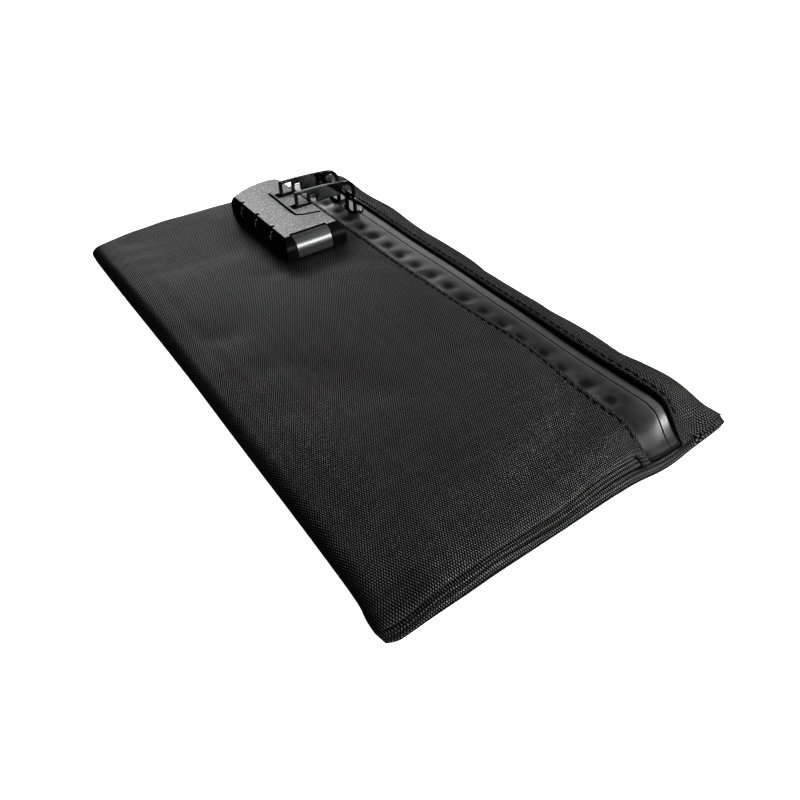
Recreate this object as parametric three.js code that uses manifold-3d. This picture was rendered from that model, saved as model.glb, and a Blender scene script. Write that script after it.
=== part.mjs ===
// Locking document and battery pouch: a flat woven pouch with a full-length zip near one long edge
// and a three-dial combination lock on its top that holds the two zip pullers.
// Millimetres. +X runs along the length towards the near end, +Y across towards the zip, +Z up.
// The origin is the centre of the footprint, on the surface that the pouch lies on.
import * as THREE from 'three';
import { mergeVertices } from 'three/addons/utils/BufferGeometryUtils.js';
import Module from 'manifold-3d';

const wasm = await Module();
wasm.setup();

// ---- Pouch ----
const LENGTH = 279;
const WIDTH = 152;
const THICKNESS = 13.5;
const EDGE_RADIUS = 5;
const CORNER_RADIUS = 9;
const GAP = 0.3;
const COVER_WALL = 0.8;
const BARRIER_WALL = 0.8;
const LINING_WALL = 0.5;
const BARRIER_INSET = COVER_WALL + GAP;
const LINING_INSET = BARRIER_INSET + BARRIER_WALL + GAP;

// ---- Zip ----
const SLIT_Y = 53;
const SLIT_WIDTH = 1.6;
const MOUTH_HALF_LENGTH = 134;
const MOUTH_NEAR_Y = 39;
const MOUTH_FAR_Y = 58.5;
const TAPE_SEWN_UNDER = 5.5;
const TAPE_THICKNESS = 0.7;
const TAPE_TOP = THICKNESS - COVER_WALL - GAP;
const TAPE_HALF_LENGTH = 134.5;
const COIL_WIDTH = 2;
const COIL_HEIGHT = 2;
const COIL_TOP = TAPE_TOP - TAPE_THICKNESS - GAP;

// ---- Sliders and pullers ----
const SLIDER_X = [-98.4, -81.2];
const SLIDER_LENGTH = 12;
const SLIDER_WIDTH = 8;
const SLIDER_NECK = 1;
const SLIDER_TOP_PLATE = [TAPE_TOP + 0.4, TAPE_TOP + 2];
const SLIDER_BOTTOM_PLATE = [COIL_TOP - COIL_HEIGHT - 1.6, COIL_TOP - COIL_HEIGHT - 0.5];
const GUIDE_THICKNESS = 0.7;
const PIVOT_Y = 51.4;
const PIVOT_Z = 22.2;
const BAIL_RADIUS = 1.1;
const BAIL_HALF_SPAN = 4.2;
const BAIL_BEND = 1.8;
const PULLER_THICKNESS = 1.6;
const PULLER_TOP = 32.3;
const LOOP_Y = [17.9, 26.8];
const LOOP_BOTTOM = 24.3;
const LOOP_WINDOW = { y: [19.6, 25.2], z: [25.6, 30.6] };
const NECK_BOTTOM = 28.8;
const GRIP_START_Y = 30.5;
const GRIP_BOTTOM = 24;
const EYE_RADIUS = 3.3;

// ---- Lock ----
const LOCK_BASE = THICKNESS + GAP;
const LOCK_TOP = 24;
const LOCK_FRONT = -50;
const LOCK_FAR = -124.6;
const LOCK_Y = [-4.2, 29.2];
const LOCK_WALL = 2.2;
const LOCK_CEILING = 21.7;
const PLATE_BOTTOM = 23;
const PLATE_SEAT = PLATE_BOTTOM - GAP;
const BARREL_RADIUS = 6.4;
const BUTTON_Y = [1.3, 21.2];
const BUTTON_BACK = -55.5;
const BUTTON_BAY_BACK = -57.5;
const BUTTON_WALL_BACK = -59.3;
const STEM = { x: -61.5, y: [8, 14], z: [15.5, 20] };
const HASP_SLOT = { back: -4.2, front: 1.1, y: [16.2, 27.3] };
const LATCH_Z = [20.3, 21.4];
const LATCH_BAR_X = [-110, -87.6];
const LATCH_BAR_Y = [12.5, 15.8];
const TONGUE_Y = [20.6, 24];
const GROOVE_RADIUS = 0.8;

const DIAL_X = [-104.5, -87.3, -70.1];
const DIAL_RADIUS = 4.4;
const DIAL_WIDTH = 7;
const DIAL_Y = 0.9;
const DIAL_Z = 18.4;
const DIAL_BORE = 2.6;
const SPINDLE_RADIUS = 1;
const SPINDLE_X = [-112.5, -63.9];
const DETENT = { x: [-110.5, -65], y: 7.3, width: 3, leaf: 0.35, bump: 1.6, halfBump: 3 };

const BUTTON_SPRING = { x: [-68.5, STEM.x - GAP], y: 11, z: 17.7, radius: 1.7, wire: 0.25, turns: 5 };
const LATCH_SPRING = { x: [-120.4, -110.3], y: 14.1, z: 18.9, radius: 1.4, wire: 0.22, turns: 7 };

const SCREW_AT = [[-116, 4.5], [-116, 21], [-61.8, 5.2], [-61.8, 24.2]];
const SCREW_RADIUS = 1.1;
const SCREW_HEAD = { radius: 2.3, height: 1.2 };
const SCREW_BOSS_RADIUS = 2.4;
const RIB_BOTTOM = 15;
const BASE_PLATE_Z = [9.6, 10.5];

// A span that reaches past every piece, for cutting.
const PAST_ALL = [-200, 200];

// ---- Finishes ----
const finish = (color, roughness, metalness) =>
  new THREE.MeshStandardMaterial({ color, roughness, metalness });
const nylon = finish(0x1d1e20, 0.7, 0);
const glassCloth = finish(0x8d9094, 0.85, 0);
const foil = finish(0xb4b6b8, 0.5, 0.3);
const tapeFilm = finish(0x2b2d30, 0.4, 0);
const coilNylon = finish(0x141414, 0.5, 0);
const gunmetal = finish(0x1c1d20, 0.2, 0.9);
const blackMoulding = finish(0x0c0c0d, 0.35, 0);
const stippledGrey = finish(0x626468, 0.55, 0.2);
const glossBlack = finish(0x0a0a0b, 0.15, 0);
const steel = finish(0x9a9da1, 0.35, 0.9);
const brass = finish(0xb08d4a, 0.35, 0.9);

// ---- Solids ----
function solid(geometry) {
  const bare = geometry.clone();
  bare.deleteAttribute('normal');
  bare.deleteAttribute('uv');
  const merged = mergeVertices(bare);
  return new wasm.Manifold(new wasm.Mesh({
    numProp: 3,
    vertProperties: new Float32Array(merged.attributes.position.array),
    triVerts: new Uint32Array(merged.index.array),
  }));
}

function geometryOf(manifold) {
  const { vertProperties, triVerts } = manifold.getMesh();
  const geometry = new THREE.BufferGeometry();
  geometry.setAttribute('position', new THREE.BufferAttribute(new Float32Array(vertProperties), 3));
  geometry.setIndex(new THREE.BufferAttribute(new Uint32Array(triVerts), 1));
  geometry.computeVertexNormals();
  return geometry;
}

function block([x0, x1], [y0, y1], [z0, z1]) {
  const geometry = new THREE.BoxGeometry(x1 - x0, y1 - y0, z1 - z0);
  geometry.translate((x0 + x1) / 2, (y0 + y1) / 2, (z0 + z1) / 2);
  return solid(geometry);
}

function rod(radius, [x0, x1], y, z, sides = 24) {
  const geometry = new THREE.CylinderGeometry(radius, radius, x1 - x0, sides);
  geometry.rotateZ(-Math.PI / 2);
  geometry.translate((x0 + x1) / 2, y, z);
  return solid(geometry);
}

function post(radius, x, y, [z0, z1], sides = 20) {
  const geometry = new THREE.CylinderGeometry(radius, radius, z1 - z0, sides);
  geometry.rotateX(Math.PI / 2);
  geometry.translate(x, y, (z0 + z1) / 2);
  return solid(geometry);
}

// An outline drawn in X and Z, given its thickness along Y.
function sideExtrusion(shape, [y0, y1], curveSegments = 8) {
  const geometry = new THREE.ExtrudeGeometry(shape, {
    depth: y1 - y0, bevelEnabled: false, curveSegments,
  });
  geometry.rotateX(Math.PI / 2);
  geometry.translate(0, y1, 0);
  return solid(geometry);
}

// An outline drawn in Y and Z, given its thickness along X around a centre.
function crossExtrusion(shape, x, thickness, bevel) {
  const geometry = new THREE.ExtrudeGeometry(shape, {
    depth: thickness - 2 * bevel, bevelThickness: bevel, bevelSize: bevel, bevelOffset: -bevel,
    bevelSegments: 1, curveSegments: 6,
  });
  geometry.rotateX(Math.PI / 2);
  geometry.rotateZ(Math.PI / 2);
  geometry.translate(x - thickness / 2 + bevel, 0, 0);
  return solid(geometry);
}

function roundedRectangle([x0, x1], [y0, y1], radius) {
  const shape = new THREE.Shape();
  shape.moveTo(x0 + radius, y0);
  shape.absarc(x1 - radius, y0 + radius, radius, -Math.PI / 2, 0, false);
  shape.absarc(x1 - radius, y1 - radius, radius, 0, Math.PI / 2, false);
  shape.absarc(x0 + radius, y1 - radius, radius, Math.PI / 2, Math.PI, false);
  shape.absarc(x0 + radius, y0 + radius, radius, Math.PI, 1.5 * Math.PI, false);
  return shape;
}

function helix({ x: [x0, x1], y, z, radius, wire, turns }) {
  const stepsPerTurn = 10;
  const points = [];
  for (let step = 0; step <= turns * stepsPerTurn; step += 1) {
    const angle = (2 * Math.PI * step) / stepsPerTurn;
    const x = x0 + wire + ((x1 - x0 - 2 * wire) * step) / (turns * stepsPerTurn);
    points.push(new THREE.Vector3(x, y + radius * Math.cos(angle), z + radius * Math.sin(angle)));
  }
  return solid(new THREE.ExtrudeGeometry(circle(wire, 5), {
    steps: turns * stepsPerTurn, extrudePath: new THREE.CatmullRomCurve3(points),
    bevelEnabled: false,
  }));
}

function circle(radius, sides) {
  const shape = new THREE.Shape();
  for (let side = 0; side < sides; side += 1) {
    const angle = (2 * Math.PI * side) / sides;
    const put = side === 0 ? 'moveTo' : 'lineTo';
    shape[put](radius * Math.cos(angle), radius * Math.sin(angle));
  }
  shape.closePath();
  return shape;
}

// ---- Pouch pieces ----
// The pouch's rounded form, set in from its outer surface all round.
function pouchForm(inset) {
  const edge = EDGE_RADIUS - inset;
  const shape = roundedRectangle(
    [-LENGTH / 2 + EDGE_RADIUS, LENGTH / 2 - EDGE_RADIUS],
    [-WIDTH / 2 + EDGE_RADIUS, WIDTH / 2 - EDGE_RADIUS],
    CORNER_RADIUS - EDGE_RADIUS,
  );
  const geometry = new THREE.ExtrudeGeometry(shape, {
    depth: THICKNESS - 2 * EDGE_RADIUS, bevelThickness: edge, bevelSize: edge,
    bevelSegments: 3, curveSegments: 4,
  });
  geometry.translate(0, 0, EDGE_RADIUS);
  return solid(geometry);
}

// One layer of the pouch: a skin with the zip's mouth and the lock's screw holes cut in its top.
function pouchLayer(inset, wall, [mouthNear, mouthFar], mouthHalfLength) {
  const mouth = block(
    [-mouthHalfLength, mouthHalfLength], [mouthNear, mouthFar], [THICKNESS / 2, THICKNESS + 1],
  );
  let skin = pouchForm(inset).subtract(pouchForm(inset + wall)).subtract(mouth);
  for (const [x, y] of SCREW_AT) {
    skin = skin.subtract(post(SCREW_RADIUS + GAP, x, y, [THICKNESS / 2, THICKNESS + 1]));
  }
  return skin;
}

const outerCover = () =>
  pouchLayer(0, COVER_WALL, [MOUTH_NEAR_Y, MOUTH_FAR_Y], MOUTH_HALF_LENGTH);

// The fire barrier's mouth clears the tapes, which are sewn under the cover's edges.
const fireBarrier = () => pouchLayer(
  BARRIER_INSET, BARRIER_WALL,
  [MOUTH_NEAR_Y - TAPE_SEWN_UNDER - 0.5, MOUTH_FAR_Y + TAPE_SEWN_UNDER + 0.5],
  TAPE_HALF_LENGTH + 2,
);

// The lining's mouth clears the coils and the sliders' lower plates.
const innerLining = () => pouchLayer(
  LINING_INSET, LINING_WALL,
  [SLIT_Y - SLIDER_WIDTH, SLIT_Y + SLIDER_WIDTH], TAPE_HALF_LENGTH + 1,
);

// ---- Zip pieces ----
// side is -1 for the tape and coil on the near side of the slit, 1 for those on the far side.
function zipTape(side) {
  const slitEdge = SLIT_Y + (side * SLIT_WIDTH) / 2;
  const sewnEdge = side < 0 ? MOUTH_NEAR_Y - TAPE_SEWN_UNDER : MOUTH_FAR_Y + TAPE_SEWN_UNDER;
  return block(
    [-TAPE_HALF_LENGTH, TAPE_HALF_LENGTH],
    [Math.min(slitEdge, sewnEdge), Math.max(slitEdge, sewnEdge)],
    [TAPE_TOP - TAPE_THICKNESS, TAPE_TOP],
  );
}

function zipCoil(side) {
  const inner = SLIT_Y + (side * SLIT_WIDTH) / 2;
  const outer = inner + side * COIL_WIDTH;
  return block(
    [-TAPE_HALF_LENGTH, TAPE_HALF_LENGTH],
    [Math.min(inner, outer), Math.max(inner, outer)],
    [COIL_TOP - COIL_HEIGHT, COIL_TOP],
  );
}

// A die-cast slider: a top and a bottom plate joined by a neck in the slit, with guide flanges
// beside the coils and a bail that the puller's eye hangs on. facing is the closed end's side.
function zipSlider(x, facing) {
  const plate = ([z0, z1]) => {
    const half = (SLIDER_LENGTH / 2) * facing;
    const wide = SLIDER_WIDTH / 2;
    const narrow = wide * 0.72;
    const shape = new THREE.Shape();
    shape.moveTo(-half, -narrow);
    shape.quadraticCurveTo(half * 0.1, -narrow, half * 0.35, -wide);
    shape.quadraticCurveTo(half, -wide, half, 0);
    shape.quadraticCurveTo(half, wide, half * 0.35, wide);
    shape.quadraticCurveTo(half * 0.1, narrow, -half, narrow);
    shape.closePath();
    const bevel = 0.4;
    const geometry = new THREE.ExtrudeGeometry(shape, {
      depth: z1 - z0 - 2 * bevel, bevelThickness: bevel, bevelSize: bevel, bevelOffset: -bevel,
      bevelSegments: 1, curveSegments: 5,
    });
    geometry.translate(x, SLIT_Y, z0 + bevel);
    return solid(geometry);
  };
  const neck = block(
    [x - 2, x + 2], [SLIT_Y - SLIDER_NECK / 2, SLIT_Y + SLIDER_NECK / 2],
    [SLIDER_BOTTOM_PLATE[1] - 0.5, SLIDER_TOP_PLATE[0] + 0.5],
  );
  let body = plate(SLIDER_TOP_PLATE).add(plate(SLIDER_BOTTOM_PLATE)).add(neck).add(sliderBail(x));
  for (const side of [-1, 1]) {
    const edge = SLIT_Y + (side * (SLIDER_WIDTH - GUIDE_THICKNESS)) / 2;
    body = body.add(block(
      [x - 1, x + 4], [edge - GUIDE_THICKNESS / 2, edge + GUIDE_THICKNESS / 2],
      [SLIDER_BOTTOM_PLATE[1] - 0.3, COIL_TOP],
    ));
  }
  return body;
}

function sliderBail(x) {
  const foot = SLIDER_TOP_PLATE[0] + 0.4;
  const at = (dx, z) => new THREE.Vector3(x + dx, PIVOT_Y, z);
  const [low, high] = [-BAIL_HALF_SPAN, BAIL_HALF_SPAN];
  const bendZ = PIVOT_Z - BAIL_BEND;
  const arch = new THREE.CurvePath();
  arch.add(new THREE.LineCurve3(at(low, foot), at(low, bendZ)));
  arch.add(new THREE.QuadraticBezierCurve3(at(low, bendZ), at(low, PIVOT_Z), at(low + BAIL_BEND, PIVOT_Z)));
  arch.add(new THREE.LineCurve3(at(low + BAIL_BEND, PIVOT_Z), at(high - BAIL_BEND, PIVOT_Z)));
  arch.add(new THREE.QuadraticBezierCurve3(
    at(high - BAIL_BEND, PIVOT_Z), at(high, PIVOT_Z), at(high, bendZ),
  ));
  arch.add(new THREE.LineCurve3(at(high, bendZ), at(high, foot)));
  return solid(new THREE.ExtrudeGeometry(circle(BAIL_RADIUS, 10), {
    steps: 34, extrudePath: arch, bevelEnabled: false,
  }));
}

// A flat puller standing on edge: the loop that the lock holds, a raised neck that clears the
// lock's rim, a plain grip and the eye around the slider's bail.
function zipPuller(x) {
  const outline = new THREE.Shape();
  const corner = 0.7;
  const [loopNear, loopFar] = LOOP_Y;
  outline.moveTo(loopNear + corner, LOOP_BOTTOM);
  outline.lineTo(loopFar - corner, LOOP_BOTTOM);
  outline.quadraticCurveTo(loopFar, LOOP_BOTTOM, loopFar, LOOP_BOTTOM + corner);
  outline.lineTo(loopFar, NECK_BOTTOM - corner);
  outline.quadraticCurveTo(loopFar, NECK_BOTTOM, loopFar + corner, NECK_BOTTOM);
  outline.lineTo(GRIP_START_Y - corner, NECK_BOTTOM);
  outline.quadraticCurveTo(GRIP_START_Y, NECK_BOTTOM, GRIP_START_Y, NECK_BOTTOM - corner);
  outline.lineTo(GRIP_START_Y, GRIP_BOTTOM + 1);
  outline.quadraticCurveTo(GRIP_START_Y, GRIP_BOTTOM, GRIP_START_Y + 1, GRIP_BOTTOM);
  outline.lineTo(43.2, GRIP_BOTTOM);
  outline.quadraticCurveTo(47.6, GRIP_BOTTOM, PIVOT_Y - EYE_RADIUS, PIVOT_Z);
  outline.absarc(PIVOT_Y, PIVOT_Z, EYE_RADIUS, Math.PI, 2 * Math.PI, false);
  outline.quadraticCurveTo(PIVOT_Y + EYE_RADIUS, 30.4, 47, 30.9);
  outline.quadraticCurveTo(32, PULLER_TOP, loopNear + 0.9, PULLER_TOP);
  outline.quadraticCurveTo(loopNear, PULLER_TOP, loopNear, PULLER_TOP - 0.9);
  outline.lineTo(loopNear, LOOP_BOTTOM + corner);
  outline.quadraticCurveTo(loopNear, LOOP_BOTTOM, loopNear + corner, LOOP_BOTTOM);
  const loop = new THREE.Path();
  loop.moveTo(LOOP_WINDOW.y[0], LOOP_WINDOW.z[0]);
  loop.lineTo(LOOP_WINDOW.y[0], LOOP_WINDOW.z[1]);
  loop.lineTo(LOOP_WINDOW.y[1], LOOP_WINDOW.z[1]);
  loop.lineTo(LOOP_WINDOW.y[1], LOOP_WINDOW.z[0]);
  loop.closePath();
  const eye = new THREE.Path();
  const clearance = BAIL_RADIUS + 0.35;
  eye.absarc(PIVOT_Y, PIVOT_Z, clearance, Math.PI, 2 * Math.PI, false);
  eye.quadraticCurveTo(PIVOT_Y + clearance, 28, 48.6, 28.4);
  eye.quadraticCurveTo(45.4, 28.4, 46, 26.4);
  eye.quadraticCurveTo(47, 24.4, PIVOT_Y - clearance, PIVOT_Z);
  outline.holes.push(loop, eye);
  return crossExtrusion(outline, x, PULLER_THICKNESS, 0.25);
}

// ---- Lock pieces ----
// The lock's plan, with a convex far end, set in from its widest line.
function lockPlan(inset) {
  const [y0, y1] = [LOCK_Y[0] + inset, LOCK_Y[1] - inset];
  const far = LOCK_FAR + inset;
  const shape = new THREE.Shape();
  shape.moveTo(LOCK_FRONT - inset, y0);
  shape.lineTo(LOCK_FRONT - inset, y1);
  shape.lineTo(far + 3, y1);
  shape.quadraticCurveTo(far + 0.6, y1, far, y1 - 5);
  shape.bezierCurveTo(far, 12, far + 3.6, y0 + 6, far + 8.5, y0);
  shape.closePath();
  return shape;
}

// The side profile, flat on top with a quarter-round front.
function lockProfile() {
  const shape = new THREE.Shape();
  const back = LOCK_FAR - 5;
  shape.moveTo(back, LOCK_BASE);
  shape.lineTo(LOCK_FRONT, LOCK_BASE);
  shape.lineTo(LOCK_FRONT, LOCK_TOP - BARREL_RADIUS);
  shape.absarc(
    LOCK_FRONT - BARREL_RADIUS, LOCK_TOP - BARREL_RADIUS, BARREL_RADIUS, 0, Math.PI / 2, false,
  );
  shape.lineTo(back, LOCK_TOP);
  shape.closePath();
  return shape;
}

function planExtrusion(inset, [z0, z1], bevelSize, bevelThickness) {
  const geometry = new THREE.ExtrudeGeometry(lockPlan(inset + bevelSize), {
    depth: z1 - z0 - 2 * bevelThickness, bevelEnabled: bevelSize > 0, bevelSize, bevelThickness,
    bevelSegments: 3, curveSegments: 8,
  });
  geometry.translate(0, 0, z0 + bevelThickness);
  return solid(geometry);
}

// The whole outer form of the lock, flared at its foot and rounded into its top.
function lockForm() {
  const belowBase = 8;
  return planExtrusion(0, [LOCK_BASE - belowBase, LOCK_TOP], 2.2, 5)
    .intersect(sideExtrusion(lockProfile(), [LOCK_Y[0] - 1, LOCK_Y[1] + 1]));
}

const haspSlot = (x) => block(
  [x + HASP_SLOT.back, x + HASP_SLOT.front], HASP_SLOT.y, [PLATE_SEAT - 2, LOCK_TOP + 1],
);

const buttonBay = () => block(
  [BUTTON_BAY_BACK, LOCK_FRONT + 1], [BUTTON_Y[0] - GAP, BUTTON_Y[1] + GAP],
  [LOCK_BASE - 1, LOCK_TOP + 1],
);

const dialWindow = (x) => block(
  [x - DIAL_WIDTH / 2 - 0.4, x + DIAL_WIDTH / 2 + 0.4],
  [LOCK_Y[0] - 1, DIAL_Y + DIAL_RADIUS + 0.5], [14.5, PLATE_SEAT + 1],
);

function lockHousing() {
  let housing = lockForm().intersect(block(PAST_ALL, PAST_ALL, [0, PLATE_SEAT]));
  const pocket = planExtrusion(LOCK_WALL, [LOCK_BASE - 1, LOCK_CEILING], 0, 0)
    .intersect(block([PAST_ALL[0], BUTTON_WALL_BACK], PAST_ALL, [0, LOCK_CEILING]));
  housing = housing.subtract(pocket).subtract(buttonBay());
  housing = housing.subtract(block(
    [BUTTON_WALL_BACK - 1, BUTTON_BAY_BACK + 1],
    [STEM.y[0] - GAP, STEM.y[1] + GAP], [STEM.z[0] - GAP, STEM.z[1] + GAP],
  ));
  const ceiling = LOCK_CEILING + 0.2;
  for (const [x, y] of SCREW_AT) {
    housing = housing.add(post(SCREW_BOSS_RADIUS, x, y, [LOCK_BASE, ceiling]));
  }
  // Two ribs carry the spindle, and one carries the button's spring.
  const ribY = [-2.5, 4];
  const [spindleFar, spindleNear] = SPINDLE_X;
  housing = housing.add(block([spindleFar - 0.5, spindleFar + 1.2], ribY, [RIB_BOTTOM, ceiling]));
  housing = housing.add(block([spindleNear - 1.3, spindleNear + 0.4], ribY, [RIB_BOTTOM, ceiling]));
  const springEnd = BUTTON_SPRING.x[0] - GAP;
  housing = housing.add(block([springEnd - 1.5, springEnd], [8.5, 13.5], [RIB_BOTTOM - 0.5, ceiling]));
  housing = housing.subtract(rod(SPINDLE_RADIUS + GAP, SPINDLE_X, DIAL_Y, DIAL_Z));
  for (const [x, y] of SCREW_AT) {
    housing = housing.subtract(post(SCREW_RADIUS + GAP, x, y, [LOCK_BASE - 1, 20.4]));
  }
  for (const x of DIAL_X) {
    housing = housing.subtract(dialWindow(x));
  }
  for (const x of SLIDER_X) {
    housing = housing.subtract(haspSlot(x));
  }
  return housing;
}

// The stippled top plate, with the loop slots, an index notch over each dial and an L groove.
function lockTopPlate() {
  let plate = lockForm().intersect(block(PAST_ALL, PAST_ALL, [PLATE_BOTTOM, LOCK_TOP + 1]));
  plate = plate.subtract(buttonBay());
  for (const x of SLIDER_X) {
    plate = plate.subtract(haspSlot(x));
  }
  for (const x of DIAL_X) {
    plate = plate.subtract(block([x - 1, x + 1], [LOCK_Y[0] - 1, LOCK_Y[0] + 3.6], [22, 25]));
  }
  const groove = new THREE.CurvePath();
  const at = (x, y) => new THREE.Vector3(x, y, LOCK_TOP + 0.1);
  groove.add(new THREE.LineCurve3(at(-106.1, 14.6), at(-76.2, 13.8)));
  groove.add(new THREE.QuadraticBezierCurve3(at(-76.2, 13.8), at(-73.4, 13.8), at(-72.8, 16.4)));
  groove.add(new THREE.LineCurve3(at(-72.8, 16.4), at(-70, 26)));
  return plate.subtract(solid(new THREE.ExtrudeGeometry(circle(GROOVE_RADIUS, 8), {
    steps: 14, extrudePath: groove, bevelEnabled: false,
  })));
}

// The quarter-round push button with the stem that its spring bears on.
function releaseButton() {
  const barrel = sideExtrusion(lockProfile(), BUTTON_Y)
    .intersect(block([BUTTON_BACK, LOCK_FRONT + 1], BUTTON_Y, [LOCK_BASE + GAP, LOCK_TOP + 1]));
  return barrel.add(block([STEM.x, BUTTON_BACK + 1], STEM.y, STEM.z));
}

// The latch slides along X, and its tongues pass through the pullers' loops.
function latchPlate() {
  let latch = block(LATCH_BAR_X, LATCH_BAR_Y, LATCH_Z);
  latch = latch.add(block([LATCH_BAR_X[0], LATCH_BAR_X[0] + 1], LATCH_BAR_Y, [17.2, LATCH_Z[1]]));
  for (const x of SLIDER_X) {
    latch = latch.add(block([x - 9.5, x - 6.4], [LATCH_BAR_Y[0], TONGUE_Y[1]], LATCH_Z));
    latch = latch.add(block([x - 7, x - 3.6], TONGUE_Y, LATCH_Z));
  }
  return latch;
}

// A number dial with ten finger grooves round its rim and a bore for its sleeve.
function dial(x) {
  let wheel = rod(DIAL_RADIUS, [x - DIAL_WIDTH / 2, x + DIAL_WIDTH / 2], DIAL_Y, DIAL_Z, 40);
  for (let groove = 0; groove < 10; groove += 1) {
    const angle = ((groove + 0.5) * 2 * Math.PI) / 10;
    const reach = DIAL_RADIUS + 0.35;
    wheel = wheel.subtract(rod(
      0.7, [x - DIAL_WIDTH, x + DIAL_WIDTH],
      DIAL_Y + reach * Math.cos(angle), DIAL_Z + reach * Math.sin(angle), 10,
    ));
  }
  return wheel.subtract(rod(DIAL_BORE, [x - DIAL_WIDTH, x + DIAL_WIDTH], DIAL_Y, DIAL_Z));
}

function dialSleeve(x) {
  const half = DIAL_WIDTH / 2 + 1;
  return rod(DIAL_BORE - GAP, [x - half, x + half], DIAL_Y, DIAL_Z)
    .subtract(rod(SPINDLE_RADIUS + GAP, [x - half - 1, x + half + 1], DIAL_Y, DIAL_Z));
}

const dialSpindle = () => rod(SPINDLE_RADIUS, SPINDLE_X, DIAL_Y, DIAL_Z, 16);

// A leaf spring behind the dials, with a rounded bump that clicks on each dial's rim.
function detentSpring() {
  const front = [new THREE.Vector2(DETENT.x[0], DETENT.y)];
  for (const dialX of DIAL_X) {
    for (let step = -3; step <= 3; step += 1) {
      const rise = (DETENT.bump * (1 + Math.cos((step * Math.PI) / 3))) / 2;
      front.push(new THREE.Vector2(dialX + (step * DETENT.halfBump) / 3, DETENT.y - rise));
    }
  }
  front.push(new THREE.Vector2(DETENT.x[1], DETENT.y));
  const back = front.map((point) => new THREE.Vector2(point.x, point.y + DETENT.leaf)).reverse();
  const geometry = new THREE.ExtrudeGeometry(new THREE.Shape([...front, ...back]), {
    depth: DETENT.width, bevelEnabled: false,
  });
  geometry.translate(0, 0, DIAL_Z - DETENT.width / 2);
  return solid(geometry);
}

const buttonSpring = () => helix(BUTTON_SPRING);
const latchSpring = () => helix(LATCH_SPRING);

// The clamp plate inside the pouch that the lock is screwed to through the fabric.
function lockBasePlate() {
  const geometry = new THREE.ExtrudeGeometry(roundedRectangle([-120.5, -57.5], [0.5, 28], 3), {
    depth: BASE_PLATE_Z[1] - BASE_PLATE_Z[0], bevelEnabled: false, curveSegments: 4,
  });
  geometry.translate(0, 0, BASE_PLATE_Z[0]);
  return SCREW_AT.reduce(
    (plate, [x, y]) => plate.subtract(post(SCREW_RADIUS + GAP, x, y, [8, 12])), solid(geometry),
  );
}

function lockScrew([x, y]) {
  const headTop = BASE_PLATE_Z[0] - GAP;
  const head = post(SCREW_HEAD.radius, x, y, [headTop - SCREW_HEAD.height, headTop]);
  const slot = block([x - 1.5, x + 1.5], [y - 0.3, y + 0.3], [headTop - 2, headTop - 0.6]);
  return head.subtract(slot).add(post(SCREW_RADIUS, x, y, [headTop - 0.1, 20], 14));
}

// ---- Assembly ----
const pouch = new THREE.Group();
const lock = new THREE.Group();
const zip = new THREE.Group();

function place(group, name, manifold, material) {
  const mesh = new THREE.Mesh(geometryOf(manifold), material);
  mesh.name = name;
  group.add(mesh);
}

place(pouch, 'outer_cover', outerCover(), nylon);
place(pouch, 'fire_barrier', fireBarrier(), glassCloth);
place(pouch, 'inner_lining', innerLining(), foil);

place(zip, 'zip_tape_near', zipTape(-1), tapeFilm);
place(zip, 'zip_tape_far', zipTape(1), tapeFilm);
place(zip, 'zip_coil_near', zipCoil(-1), coilNylon);
place(zip, 'zip_coil_far', zipCoil(1), coilNylon);
SLIDER_X.forEach((x, index) => {
  place(zip, `zip_slider_${index + 1}`, zipSlider(x, index === 0 ? -1 : 1), gunmetal);
  place(zip, `zip_puller_${index + 1}`, zipPuller(x), gunmetal);
});

place(lock, 'lock_housing', lockHousing(), blackMoulding);
place(lock, 'lock_top_plate', lockTopPlate(), stippledGrey);
place(lock, 'lock_base_plate', lockBasePlate(), steel);
place(lock, 'release_button', releaseButton(), glossBlack);
place(lock, 'button_spring', buttonSpring(), steel);
place(lock, 'latch_plate', latchPlate(), steel);
place(lock, 'latch_spring', latchSpring(), steel);
place(lock, 'dial_spindle', dialSpindle(), steel);
place(lock, 'detent_spring', detentSpring(), steel);
DIAL_X.forEach((x, index) => {
  place(lock, `dial_${index + 1}`, dial(x), blackMoulding);
  place(lock, `dial_sleeve_${index + 1}`, dialSleeve(x), brass);
});
SCREW_AT.forEach((spot, index) => {
  place(lock, `lock_screw_${index + 1}`, lockScrew(spot), steel);
});

const lockingPouch = new THREE.Group();
lockingPouch.add(pouch, zip, lock);

export default lockingPouch;
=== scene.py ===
"""The looks of a locking battery pouch: woven cover, coated zip and combination lock.

Lengths are in millimetres, in the frame's axes, until a mesh is made, where they become metres.
The zip runs along X. Near means towards -Y, the folded edge, and far means towards +Y.
"""
import math

import bmesh
import bpy
import numpy as np
from mathutils import Matrix, Vector, noise


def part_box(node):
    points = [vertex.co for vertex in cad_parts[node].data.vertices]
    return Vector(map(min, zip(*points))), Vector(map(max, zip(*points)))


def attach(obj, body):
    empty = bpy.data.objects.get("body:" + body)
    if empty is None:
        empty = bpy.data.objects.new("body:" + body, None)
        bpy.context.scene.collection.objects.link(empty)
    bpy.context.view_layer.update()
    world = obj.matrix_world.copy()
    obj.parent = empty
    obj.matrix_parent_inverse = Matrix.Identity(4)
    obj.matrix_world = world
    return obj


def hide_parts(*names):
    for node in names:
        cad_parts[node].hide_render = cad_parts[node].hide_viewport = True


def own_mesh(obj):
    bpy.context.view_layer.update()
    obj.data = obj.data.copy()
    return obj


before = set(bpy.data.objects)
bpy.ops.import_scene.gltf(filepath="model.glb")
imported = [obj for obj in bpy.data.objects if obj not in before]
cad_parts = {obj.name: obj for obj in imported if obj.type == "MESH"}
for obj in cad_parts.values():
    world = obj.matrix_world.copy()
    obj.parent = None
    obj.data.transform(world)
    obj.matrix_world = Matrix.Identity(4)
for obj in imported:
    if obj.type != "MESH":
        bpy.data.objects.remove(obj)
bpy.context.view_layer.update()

MM = 0.001


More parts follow.
